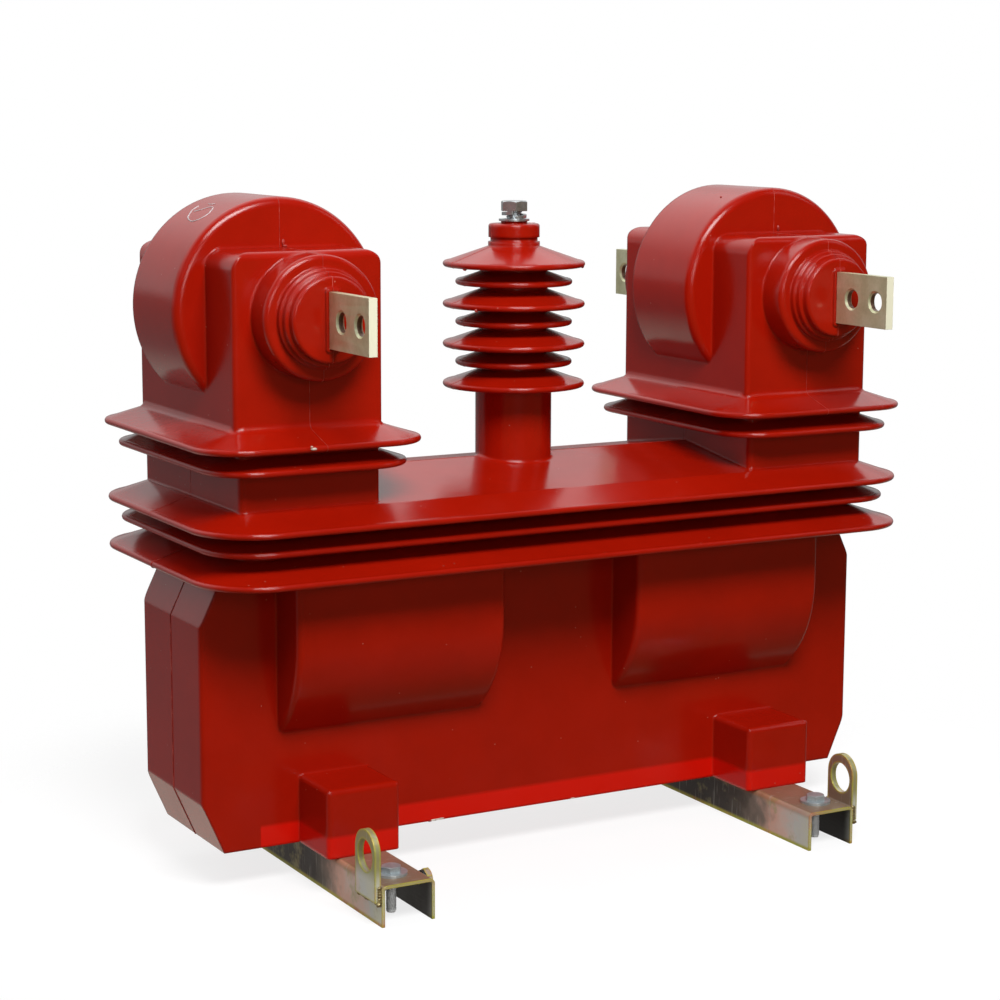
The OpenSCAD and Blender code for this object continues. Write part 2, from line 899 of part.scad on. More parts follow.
module head_skin() {
  union() {
    head_box();
    barrel();
    shed(box_x + head_over, box_y + head_over, flare_corner + head_over, head_over, seat_z - head_shed_drop);
    run_round(box_x + head_over, box_y + head_over, flare_corner + head_over)
      flare_section();
    bushing();
    mirror([0, 1, 0])
      bushing();
  }
}

module ct_ring(r0, r1, l) {
  translate([0, 0, axis_z])
    rotate([90, 0, 0])
      difference() {
        cylinder(r = r1, h = l, center = true);
        cylinder(r = r0, h = l + 2, center = true);
      }
}

module bar_block() {
  translate([0, 0, axis_z])
    cube([bar_t, bar_len, bar_h], center = true);
}

module head() {
  difference() {
    translate([tower_x, 0, 0])
      head_skin();
    translate([tower_x, 0, 0])
      ct_ring(ct_inner_r, ct_outer_r, ct_len);
    translate([tower_x, 0, 0])
      bar_block();
    hv_lead_solid();
    lv_leads_solid();
  }
}

module left_head() {
  color([0.62, 0.05, 0.03])
    mirror([1, 0, 0])
      head();
}

module right_head() {
  color([0.62, 0.05, 0.03])
    head();
}

module bar_hole() {
  deep = (bar_sink_d - bar_hole_d) / 2;
  rotate([0, 90, 0]) {
    cylinder(d = bar_hole_d, h = bar_t + 2, center = true);
    for (i = [0, 1])
      mirror([0, 0, i])
        translate([0, 0, bar_t / 2 - deep])
          cylinder(d1 = bar_hole_d, d2 = bar_sink_d + 2, h = deep + 1);
  }
}

module primary_bar() {
  difference() {
    bar_block();
    for (j = [0, 1], k = [0, 1])
      mirror([0, j, 0])
        translate([0, bar_len / 2 - bar_hole_end - k * bar_hole_pitch, axis_z])
          bar_hole();
  }
}

module left_primary_bar() {
  color([0.76, 0.72, 0.55])
    translate([-tower_x, 0, 0])
      primary_bar();
}

module right_primary_bar() {
  color([0.76, 0.72, 0.55])
    translate([tower_x, 0, 0])
      primary_bar();
}

module ct_core() {
  ct_ring(ct_inner_r + ct_wind_t, ct_outer_r - ct_wind_t, ct_len - 2 * ct_wind_t);
}

module ct_winding() {
  difference() {
    ct_ring(ct_inner_r, ct_outer_r, ct_len);
    ct_core();
  }
}

module left_ct_core() {
  color([0.35, 0.36, 0.38])
    translate([-tower_x, 0, 0])
      ct_core();
}

module right_ct_core() {
  color([0.35, 0.36, 0.38])
    translate([tower_x, 0, 0])
      ct_core();
}

module left_ct_winding() {
  color([0.72, 0.4, 0.22])
    translate([-tower_x, 0, 0])
      ct_winding();
}

module right_ct_winding() {
  color([0.72, 0.4, 0.22])
    translate([tower_x, 0, 0])
      ct_winding();
}

module left_vt_core() {
  color([0.35, 0.36, 0.38])
    mirror([1, 0, 0])
      vt_core_solid();
}

module right_vt_core() {
  color([0.35, 0.36, 0.38])
    vt_core_solid();
}

module vt_primary() {
  difference() {
    coil(vt_pri_r, vt_pri_len);
    coil(vt_sec_r, vt_sec_len);
  }
}

module vt_secondary() {
  difference() {
    coil(vt_sec_r, vt_sec_len);
    translate([bulge_x, 0, coil_z])
      cube([vt_sec_len + 2, limb_y, limb_h], center = true);
  }
}

module left_vt_primary() {
  color([0.72, 0.4, 0.22])
    mirror([1, 0, 0])
      vt_primary();
}

module right_vt_primary() {
  color([0.72, 0.4, 0.22])
    vt_primary();
}

module left_vt_secondary() {
  color([0.66, 0.36, 0.2])
    mirror([1, 0, 0])
      vt_secondary();
}

module right_vt_secondary() {
  color([0.66, 0.36, 0.2])
    vt_secondary();
}

module left_hv_lead() {
  color([0.72, 0.4, 0.22])
    mirror([1, 0, 0])
      hv_lead_solid();
}

module right_hv_lead() {
  color([0.72, 0.4, 0.22])
    hv_lead_solid();
}

module centre_hv_lead() {
  color([0.72, 0.4, 0.22])
    centre_lead_solid();
}

module post_insert_solid() {
  translate([0, 0, insert_top - post_insert_len])
    cylinder(r = post_insert_r, h = post_insert_len);
}

module post_insert() {
  color([0.7, 0.62, 0.38])
    difference() {
      post_insert_solid();
      translate([0, 0, insert_top - post_bolt_grip - 4])
        cylinder(d = post_bolt_d, h = post_bolt_grip + 5);
    }
}

module post_bolt() {
  color([0.72, 0.72, 0.7])
    union() {
      translate([0, 0, bolt_seat])
        hex(post_bolt_af, post_bolt_head);
      translate([0, 0, insert_top - post_bolt_grip])
        cylinder(d = post_bolt_d, h = bolt_seat - insert_top + post_bolt_grip + 1);
    }
}

module post_flat_washer() {
  color([0.7, 0.7, 0.68])
    translate([0, 0, insert_top])
      difference() {
        cylinder(d = post_washer_d, h = post_washer_t);
        translate([0, 0, -1])
          cylinder(d = post_bolt_d + 1, h = post_washer_t + 2);
      }
}

module post_spring_washer() {
  color([0.7, 0.7, 0.68])
    translate([0, 0, washer_top + spring_half])
      rotate([spring_tilt, 0, 120])
        difference() {
          cylinder(d = spring_d, h = spring_t, center = true);
          cylinder(d = post_bolt_d + 2 * spring_clear, h = spring_t + 2, center = true);
          translate([spring_d / 2, 0, 0])
            rotate([20, 0, 0])
              cube([spring_d, 2, 3 * spring_t], center = true);
        }
}

module rail_section() {
  difference() {
    arch(rail_w / 2, rail_bend, 0, rail_h);
    arch(rail_w / 2 - rail_t, rail_bend - rail_t, -1, rail_h - rail_t);
  }
}

module slot() {
  linear_extrude(3 * rail_t, center = true) {
    square([slot_len - slot_w, slot_w], center = true);
    for (s = [-1, 1])
      translate([s * (slot_len - slot_w) / 2, 0])
        circle(d = slot_w);
  }
}

module rail() {
  difference() {
    rotate([90, 0, 0])
      linear_extrude(rail_len, center = true)
        rail_section();
    for (s = [-1, 1])
      translate([0, s * slot_y, rail_h])
        slot();
    for (s = [-1, 1])
      translate([0, s * foot_mid, rail_h])
        cylinder(r = foot_d / 2 + hole_clear, h = 3 * rail_t, center = true);
  }
}

module left_rail() {
  color([0.72, 0.7, 0.5])
    difference() {
      translate([-rail_x, 0, 0])
        rail();
      earth_shank();
    }
}

module right_rail() {
  color([0.72, 0.7, 0.5])
    translate([rail_x, 0, 0])
      rail();
}

module eye_plate() {
  translate([0, -eye_y, 0])
    rotate([90, 0, 90])
      linear_extrude(eye_t)
        difference() {
          union() {
            translate([-eye_w / 2, eye_foot])
              square([eye_w, eye_h + eye_cap - eye_foot]);
            translate([0, eye_h + eye_cap])
              circle(d = eye_w);
          }
          translate([0, eye_h])
            circle(d = eye_d);
        }
}

module eye_pair() {
  for (j = [0, 1])
    mirror([0, j, 0])
      translate([rail_x + rail_w / 2, 0, 0])
        eye_plate();
}

module left_lifting_eyes() {
  color([0.72, 0.7, 0.5])
    mirror([1, 0, 0])
      eye_pair();
}

module right_lifting_eyes() {
  color([0.72, 0.7, 0.5])
    eye_pair();
}

module mount_spots() {
  for (i = [-1, 1], j = [-1, 1])
    translate([i * (rail_x + mount_shift), j * slot_y, 0])
      children();
}

module mount_bolts() {
  color([0.68, 0.7, 0.7])
    mount_spots()
      union() {
        translate([0, 0, rail_h + mount_washer_t])
          hex(mount_af, mount_head_h);
        translate([0, 0, rail_h + mount_washer_t - mount_len + mount_thread])
          cylinder(d = mount_d, h = mount_len - mount_thread + 1);
        translate([0, 0, rail_h + mount_washer_t - mount_len])
          cylinder(r = mount_d / 2 - thread_play, h = mount_thread + 1);
      }
}

module mount_washers() {
  color([0.68, 0.7, 0.7])
    mount_spots()
      translate([0, 0, rail_h])
        difference() {
          cylinder(d = mount_washer_d, h = mount_washer_t);
          translate([0, 0, -1])
            cylinder(d = mount_d + 1, h = mount_washer_t + 2);
        }
}

module foot_insert_solid() {
  translate([rail_x, foot_mid, base_z])
    cylinder(d = insert_d, h = insert_len);
}

module foot_inserts() {
  color([0.7, 0.62, 0.38])
    four_ways()
      difference() {
        foot_insert_solid();
        translate([rail_x, foot_mid, base_z - 1])
          cylinder(d = foot_d, h = foot_grip + 5);
      }
}

module foot_bolts() {
  under = rail_h - rail_t - foot_washer_t;
  color([0.68, 0.7, 0.7])
    four_ways()
      translate([rail_x, foot_mid, 0])
        union() {
          translate([0, 0, under - foot_head_h])
            hex(foot_af, foot_head_h);
          translate([0, 0, under - 1])
            cylinder(d = foot_d, h = base_z + foot_grip - under + 1);
        }
}

module foot_washers() {
  color([0.68, 0.7, 0.7])
    four_ways()
      translate([rail_x, foot_mid, rail_h - rail_t - foot_washer_t])
        difference() {
          cylinder(d = foot_washer_d, h = foot_washer_t);
          translate([0, 0, -1])
            cylinder(d = foot_d + 1, h = foot_washer_t + 2);
        }
}

module earth_place() {
  translate([-rail_x + rail_w / 2, -earth_y, earth_h])
    rotate([0, 90, 0])
      children();
}

module earth_shank() {
  earth_place()
    translate([0, 0, -rail_t - 6])
      cylinder(d = earth_d, h = rail_t + 6 + earth_washer_t + 1);
}

module earth_bolt() {
  color([0.68, 0.7, 0.6])
    union() {
      earth_shank();
      earth_place()
        translate([0, 0, earth_washer_t])
          hex(earth_af, earth_head_h);
    }
}

module earth_washer() {
  color([0.3, 0.3, 0.28])
    earth_place()
      difference() {
        cylinder(d = earth_af - 1, h = earth_washer_t);
        translate([0, 0, -1])
          cylinder(d = earth_d + 1, h = earth_washer_t + 2);
      }
}

module secondary_leads() {
  color([0.66, 0.36, 0.2])
    each_side()
      lv_leads_solid();
}

module secondary_studs() {
  color([0.78, 0.62, 0.3])
    stud_spots()
      translate([0, stud_y - stud_root, 0])
        rotate([-90, 0, 0])
          cylinder(d = stud_d, h = stud_root + stud_len);
}

module secondary_washers() {
  color([0.78, 0.62, 0.3])
    stud_spots()
      translate([0, stud_y, 0])
        rotate([-90, 0, 0])
          difference() {
            cylinder(d = stud_washer_d, h = stud_washer_t);
            translate([0, 0, -1])
              cylinder(d = stud_d, h = stud_washer_t + 2);
          }
}

module secondary_nuts() {
  color([0.78, 0.62, 0.3])
    stud_spots()
      translate([0, stud_y + stud_washer_t, 0])
        rotate([-90, 0, 0])
          difference() {
            hex(nut_af, nut_h);
            translate([0, 0, -1])
              cylinder(d = stud_d, h = nut_h + 2);
          }
}

module terminal_gasket() {
  color([0.08, 0.08, 0.08])
    difference() {
      translate([0, tbox_face, tbox_mid])
        rotate([-90, 0, 0])
          linear_extrude(gasket_t)
            difference() {
              plan(tbox_x, tbox_h / 2, tbox_r);
              plan(tbox_x - tbox_wall, tbox_h / 2 - tbox_wall, tbox_r);
            }
      cover_holes();
    }
}

module cover_holes() {
  screw_spots()
    translate([0, tbox_face - 1, 0])
      rotate([-90, 0, 0])
        cylinder(d = screw_d + 0.6, h = gasket_t + cover_t + 2);
}

module terminal_cover() {
  color([0.72, 0.7, 0.5])
    difference() {
      translate([0, tbox_face + gasket_t, tbox_mid])
        rotate([-90, 0, 0])
          linear_extrude(cover_t)
            plan(tbox_x, tbox_h / 2, tbox_r);
      cover_holes();
    }
}

module cover_screws() {
  color([0.68, 0.7, 0.7])
    screw_spots()
      union() {
        translate([0, tbox_face - screw_grip, 0])
          rotate([-90, 0, 0])
            cylinder(d = screw_d, h = screw_grip + gasket_t + cover_t + 1);
        translate([0, tbox_face + gasket_t + cover_t, 0])
          rotate([-90, 0, 0])
            cylinder(d = screw_head_d, h = screw_head_h);
      }
}

module cable_gland() {
  color([0.12, 0.12, 0.13])
    translate([0, body_hy + tbox_reach / 2, base_z + tbox_z])
      difference() {
        union() {
          cylinder(r = gland_r, h = tbox_wall);
          translate([0, 0, -7])
            hex(gland_af, 7);
          translate([0, 0, -19])
            cylinder(r1 = gland_bore_r + 2.5, r2 = gland_af / 2 - 1, h = 12.5);
        }
        translate([0, 0, -20])
          cylinder(r = gland_bore_r, h = tbox_wall + 22);
      }
}

cast_body();
left_head();
right_head();
left_primary_bar();
right_primary_bar();
left_ct_core();
right_ct_core();
left_ct_winding();
right_ct_winding();
left_vt_core();
right_vt_core();
left_vt_primary();
right_vt_primary();
left_vt_secondary();
right_vt_secondary();
left_hv_lead();
right_hv_lead();
centre_hv_lead();
secondary_leads();
post_insert();
post_bolt();
post_spring_washer();
post_flat_washer();
left_rail();
right_rail();
left_lifting_eyes();
right_lifting_eyes();
mount_bolts();
mount_washers();
foot_inserts();
foot_bolts();
foot_washers();
earth_bolt();
earth_washer();
secondary_studs();
secondary_nuts();
secondary_washers();
terminal_gasket();
terminal_cover();
cover_screws();
cable_gland();
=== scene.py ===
"""Looks of the outdoor combined instrument transformer, in metres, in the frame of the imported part."""

import json
import math
import random

import bmesh
import bpy
from mathutils import Matrix, Vector


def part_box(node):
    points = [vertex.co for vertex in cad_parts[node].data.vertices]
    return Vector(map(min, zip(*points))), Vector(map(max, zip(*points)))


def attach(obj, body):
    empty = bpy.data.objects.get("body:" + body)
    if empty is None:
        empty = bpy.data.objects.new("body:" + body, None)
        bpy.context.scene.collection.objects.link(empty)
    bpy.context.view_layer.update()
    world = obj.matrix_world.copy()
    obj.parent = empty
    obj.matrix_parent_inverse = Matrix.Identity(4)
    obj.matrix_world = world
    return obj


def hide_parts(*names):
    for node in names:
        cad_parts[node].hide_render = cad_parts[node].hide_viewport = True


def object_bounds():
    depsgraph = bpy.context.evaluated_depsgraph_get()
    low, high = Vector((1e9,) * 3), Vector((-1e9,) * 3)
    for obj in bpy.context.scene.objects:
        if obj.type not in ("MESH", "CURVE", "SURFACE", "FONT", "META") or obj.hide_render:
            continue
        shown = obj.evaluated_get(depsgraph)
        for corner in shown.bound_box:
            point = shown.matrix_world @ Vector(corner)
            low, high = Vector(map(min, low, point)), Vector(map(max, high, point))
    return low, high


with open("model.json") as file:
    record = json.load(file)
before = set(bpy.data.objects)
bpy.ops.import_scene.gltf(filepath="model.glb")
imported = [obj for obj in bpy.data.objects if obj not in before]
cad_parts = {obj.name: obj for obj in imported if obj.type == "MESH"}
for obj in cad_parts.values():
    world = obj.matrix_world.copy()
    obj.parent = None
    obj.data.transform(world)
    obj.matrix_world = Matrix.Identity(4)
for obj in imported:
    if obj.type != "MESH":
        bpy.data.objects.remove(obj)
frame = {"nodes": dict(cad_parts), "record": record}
cad_box = [list(corner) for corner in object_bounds()]
nodes = frame["nodes"]
scene = bpy.context.scene
chance = random.Random(7)

# Sizes that the pieces below share with the solids.
BASE_Z = 0.038              # top of the rails, underside of the body
TOWER_X = 0.274             # middle of each head
AXIS_Z = 0.5365             # axis of the terminal bars and barrels
BARREL_R = 0.103
BAR_END_Y = 0.2435
BAR_HOLES_Y = (BAR_END_Y - 0.018, BAR_END_Y - 0.0545)
RAIL_X = 0.2335
RAIL_W = 0.053
WEB_UNDER_Z = 0.035         # underside of the rails' webs
SLOT_Y = 0.197
BOLT_X = RAIL_X + 0.0025    # the mounting bolts stand a little outside the middle of the rails
BOLT_SEAT_Z = 0.0405        # top of the mounting washers
EYE_Y = 0.205
EYE_HALF = 0.020
EYE_FOOT = 0.023
EYE_FACE_X = 0.2602         # just outside the rails' outer faces, within the eye plates
BOX_LOW, BOX_HIGH = (Vector(corner) for corner in cad_box)

# Radii of the beads laid on the castings.
HEAD_SEAM_R = 0.0003
BODY_SEAM_R = 0.00025
END_SEAM_R = 0.0007
CHALK_R = 0.00055


# Node helpers. A value is a socket, or a plain number or colour.

def new_material(name):
    material = bpy.data.materials.new(name)
    material.use_nodes = True
    tree = material.node_tree
    return material, tree, tree.nodes["Principled BSDF"]


def add(tree, kind, **values):
    """Adds a node and sets its properties."""
    node = tree.nodes.new(kind)
    for key, value in values.items():
        setattr(node, key, value)
    return node


def join(tree, out, into):
    tree.links.new(out, into)


def feed(tree, value, into):
    """Links a socket into an input, or sets the input to a plain value."""
    if hasattr(value, "is_linked"):
        join(tree, value, into)
    else:
        into.default_value = value


def calc(tree, operation, first, second=0.0, clamp=False):
    """One sum on two values."""
    node = add(tree, "ShaderNodeMath", operation=operation, use_clamp=clamp)
    feed(tree, first, node.inputs[0])
    feed(tree, second, node.inputs[1])
    return node.outputs[0]


def product(tree, first, second):
    return calc(tree, "MULTIPLY", first, second)


def rest(tree, share):
    """What a share leaves of one."""
    return calc(tree, "SUBTRACT", 1.0, share)


def spread(tree, value, start, end, low=0.0, high=1.0, smooth=False):
    """Carries start to end over to low to high, and holds both ends."""
    kind = "SMOOTHSTEP" if smooth else "LINEAR"
    node = add(tree, "ShaderNodeMapRange", interpolation_type=kind)
    join(tree, value, node.inputs["Value"])
    for label, number in (("From Min", start), ("From Max", end), ("To Min", low), ("To Max", high)):
        feed(tree, number, node.inputs[label])
    return node.outputs["Result"]


def step(tree, value, start, end):
    """Soft step from nought at start to one at end."""
    return spread(tree, value, start, end, smooth=True)


def ramp(tree, value, stops):
    """Colour for a value, from stops of (value, colour)."""
    node = tree.nodes.new("ShaderNodeValToRGB")
    band = node.color_ramp
    while len(band.elements) < len(stops):
        band.elements.new(0.5)
    for element, (spot, colour) in zip(band.elements, stops):
        element.position = spot
        element.color = (*colour, 1.0)
    join(tree, value, node.inputs["Fac"])
    return node.outputs["Color"]


def grey(level):
    return (level, level, level)


def mix_colour(tree, share, first, second):
    """First where share is nought, second where it is one."""
    node = add(tree, "ShaderNodeMix", data_type="RGBA")
    feed(tree, share, node.inputs[0])
    for value, into in ((first, node.inputs[6]), (second, node.inputs[7])):
        feed(tree, value if hasattr(value, "is_linked") else (*value, 1.0), into)
    return node.outputs[2]


def object_place(tree):
    return add(tree, "ShaderNodeTexCoord").outputs["Object"]


def split_xyz(tree, vector):
    node = add(tree, "ShaderNodeSeparateXYZ")
    join(tree, vector, node.inputs[0])
    return node.outputs["X"], node.outputs["Y"], node.outputs["Z"]


def length(tree, vector):
    node = add(tree, "ShaderNodeVectorMath", operation="LENGTH")
    join(tree, vector, node.inputs[0])
    return node.outputs["Value"]


# Shared effects, as node groups.

FLOAT, VECTOR = "NodeSocketFloat", "NodeSocketVector"


def new_group(name, inputs, output):
    """A shader group with inputs of (name, kind, default) and one number as output."""
    tree = bpy.data.node_groups.new(name, "ShaderNodeTree")
    for label, kind, default in inputs:
        socket = tree.interface.new_socket(label, in_out="INPUT", socket_type=kind)
        socket.default_value = default
    tree.interface.new_socket(output, in_out="OUTPUT", socket_type=FLOAT)
    entry, leave = tree.nodes.new("NodeGroupInput"), tree.nodes.new("NodeGroupOutput")
    return tree, entry.outputs, leave.inputs[output]


def noise(tree, vector, scale, detail):
    node = add(tree, "ShaderNodeTexNoise")
    node.inputs["Detail"].default_value = detail
    join(tree, vector, node.inputs["Vector"])
    feed(tree, scale, node.inputs["Scale"])
    return node.outputs["Fac"]


def mottle_group():
    """Cloudy value between Low and High, with a finer cloud on top."""
    sockets = [("Scale", FLOAT, 20.0), ("Low", FLOAT, 0.0), ("High", FLOAT, 1.0)]
    tree, entry, leave = new_group("mottle", sockets, "Value")
    place = object_place(tree)
    wide = noise(tree, place, entry["Scale"], 3.0)
    fine = noise(tree, place, product(tree, entry["Scale"], 7.0), 4.0)
    both = calc(tree, "ADD", product(tree, fine, 0.35), wide)
    join(tree, spread(tree, both, 0.45, 0.9, entry["Low"], entry["High"]), leave)
    return tree


def speckle_group():
    """Small sparse spots, such as dust nibs and pits."""
    tree, entry, leave = new_group("speckle", [("Scale", FLOAT, 200.0), ("Share", FLOAT, 0.05)], "Mask")
    cells = add(tree, "ShaderNodeTexVoronoi")
    join(tree, object_place(tree), cells.inputs["Vector"])
    join(tree, entry["Scale"], cells.inputs["Scale"])
    tint = add(tree, "ShaderNodeSeparateColor")
    join(tree, cells.outputs["Color"], tint.inputs["Color"])
    near = calc(tree, "LESS_THAN", cells.outputs["Distance"], 0.22)
    rare = calc(tree, "LESS_THAN", tint.outputs[0], entry["Share"])
    join(tree, product(tree, near, rare), leave)
    return tree


def brush_group():
    """Fine streaks along one axis: Stretch squeezes the other two."""
    sockets = [("Stretch", VECTOR, (400.0, 30.0, 400.0)), ("Low", FLOAT, 0.0), ("High", FLOAT, 1.0)]
    tree, entry, leave = new_group("brush", sockets, "Value")
    scaled = add(tree, "ShaderNodeVectorMath", operation="MULTIPLY")
    join(tree, object_place(tree), scaled.inputs[0])
    join(tree, entry["Stretch"], scaled.inputs[1])
    streak = noise(tree, scaled.outputs[0], 1.0, 2.0)
    join(tree, spread(tree, streak, 0.3, 0.7, entry["Low"], entry["High"]), leave)
    return tree


MOTTLE, SPECKLE, BRUSH = mottle_group(), speckle_group(), brush_group()


def use(tree, group, **values):
    """The one output of a shared effect."""
    node = tree.nodes.new("ShaderNodeGroup")
    node.node_tree = group
    for key, value in values.items():
        node.inputs[key].default_value = value
    return node.outputs[0]


# Parts of a finish that stay in the material itself.

def cloudy_base(tree, bsdf, scale, low, high):
    """Base colour that drifts between two tones."""
    tone = ramp(tree, use(tree, MOTTLE, Scale=scale), [(0.0, low), (1.0, high)])
    join(tree, tone, bsdf.inputs["Base Color"])
    return tone


def cloudy_gloss(tree, bsdf, scale, low, high):
    join(tree, use(tree, MOTTLE, Scale=scale, Low=low, High=high), bsdf.inputs["Roughness"])


def soft_normal(tree, bsdf, radius, height, strength, distance):
    """Rounded edges, then a small bump, into the shader's normal."""
    edge = add(tree, "ShaderNodeBevel", samples=6)
    edge.inputs["Radius"].default_value = radius
    bump = add(tree, "ShaderNodeBump")
    bump.inputs["Strength"].default_value = strength
    bump.inputs["Distance"].default_value = distance
    join(tree, edge.outputs["Normal"], bump.inputs["Normal"])
    join(tree, height, bump.inputs["Height"])
    join(tree, bump.outputs["Normal"], bsdf.inputs["Normal"])


def edge_mask(tree, radius, low, high):
    """One near the edges of a sheet, nought on its flats."""
    edge = add(tree, "ShaderNodeBevel", samples=5)
    edge.inputs["Radius"].default_value = radius
    flat = add(tree, "ShaderNodeNewGeometry")
    agree = add(tree, "ShaderNodeVectorMath", operation="DOT_PRODUCT")
    join(tree, edge.outputs["Normal"], agree.inputs[0])
    join(tree, flat.outputs["Normal"], agree.inputs[1])
    return spread(tree, agree.outputs["Value"], 1.0 - low, 1.0 - high)


# Finishes.

BRIGHT_BAND_END_X = 0.3075        # how far along the body the brighter red band at the foot reaches


def red_resin():
    """Cast and lacquered filled resin: deep red, satin gloss, a brighter red band at the foot."""
    material, tree, bsdf = new_material("red_resin")
    x, _, z = split_xyz(tree, object_place(tree))
    tone = ramp(tree, use(tree, MOTTLE, Scale=9.0), [
        (0.0, (0.300, 0.0058, 0.0008)), (0.5, (0.325, 0.0064, 0.0010)), (1.0, (0.350, 0.0072, 0.0012))])
    # a brighter red band at the foot of the body, along its sides
    foot = spread(tree, z, BASE_Z + 0.0185, BASE_Z + 0.0225, 1.0, 0.0)
    on_sides = step(tree, calc(tree, "ABSOLUTE", x), BRIGHT_BAND_END_X + 0.002, BRIGHT_BAND_END_X)
    with_foot_band = mix_colour(tree, product(tree, foot, on_sides), tone, (0.600, 0.0060, 0.0016))
    nibs = use(tree, SPECKLE, Scale=320.0, Share=0.005)
    join(tree, mix_colour(tree, nibs, with_foot_band, (0.42, 0.10, 0.08)), bsdf.inputs["Base Color"])
    cloudy_gloss(tree, bsdf, 24.0, 0.15, 0.22)
    bsdf.inputs["IOR"].default_value = 1.42
    soft_normal(tree, bsdf, 0.0040, use(tree, MOTTLE, Scale=60.0), 0.05, 0.0010)
    return material


def seam_resin():
    """The raised mould line: the same resin, dark to pale at random; the pale tones are painted
    highlight.
    """
    material, tree, bsdf = new_material("seam_resin")
    # the pale end of this ramp is painted highlight on the raised line
    tone = ramp(tree, use(tree, MOTTLE, Scale=80.0), [
        (0.0, (0.16, 0.006, 0.004)), (0.55, (0.36, 0.02, 0.012)), (1.0, (0.50, 0.10, 0.08))])
    join(tree, tone, bsdf.inputs["Base Color"])
    cloudy_gloss(tree, bsdf, 120.0, 0.35, 0.55)
    return material


def pale_filler(name, low, high, rough):
    """Bare filled resin in a chip, or chalk."""
    material, tree, bsdf = new_material(name)
    cloudy_base(tree, bsdf, 400.0, low, high)
    bsdf.inputs["Roughness"].default_value = rough
    return material


def plated_bar():
    """Tinned copper bar, faintly yellow; its end faces are painted pale and less metallic as painted
    light, and its hole walls painted dark brown as painted shade and reflection.
    """
    material, tree, bsdf = new_material("plated_bar")
    _, y, z = split_xyz(tree, object_place(tree))
    along = calc(tree, "ABSOLUTE", y)
    rise = calc(tree, "SUBTRACT", z, AXIS_Z)
    faces = ramp(tree, use(tree, MOTTLE, Scale=45.0), [
        (0.0, (0.50, 0.50, 0.30)), (0.5, (0.60, 0.60, 0.39)), (1.0, (0.70, 0.70, 0.50))])
    # painted light: the end faces of the bar are made pale and less metallic
    painted_light_ends = step(tree, along, BAR_END_Y - 0.00025, BAR_END_Y - 0.00010)
    tone = mix_colour(tree, painted_light_ends, faces, (0.82, 0.81, 0.62))
    # painted shade and reflection: dark brown on the hole walls
    holes = []
    for hole_y in BAR_HOLES_Y:
        flat = add(tree, "ShaderNodeCombineXYZ")
        join(tree, calc(tree, "SUBTRACT", along, hole_y), flat.inputs[0])
        join(tree, rise, flat.inputs[1])
        holes.append(spread(tree, length(tree, flat.outputs[0]), 0.0088, 0.0091, 1.0, 0.0))
    painted_hole_shade = calc(tree, "MAXIMUM", *holes)
    join(tree, mix_colour(tree, painted_hole_shade, tone, (0.16, 0.09, 0.06)), bsdf.inputs["Base Color"])
    join(tree, calc(tree, "SUBTRACT", 0.60, product(tree, painted_light_ends, 0.55)), bsdf.inputs["Metallic"])
    streak = use(tree, BRUSH, Stretch=(300.0, 25.0, 500.0), Low=0.30, High=0.46)
    join(tree, streak, bsdf.inputs["Roughness"])
    soft_normal(tree, bsdf, 0.0004, streak, 0.25, 0.0003)
    return material


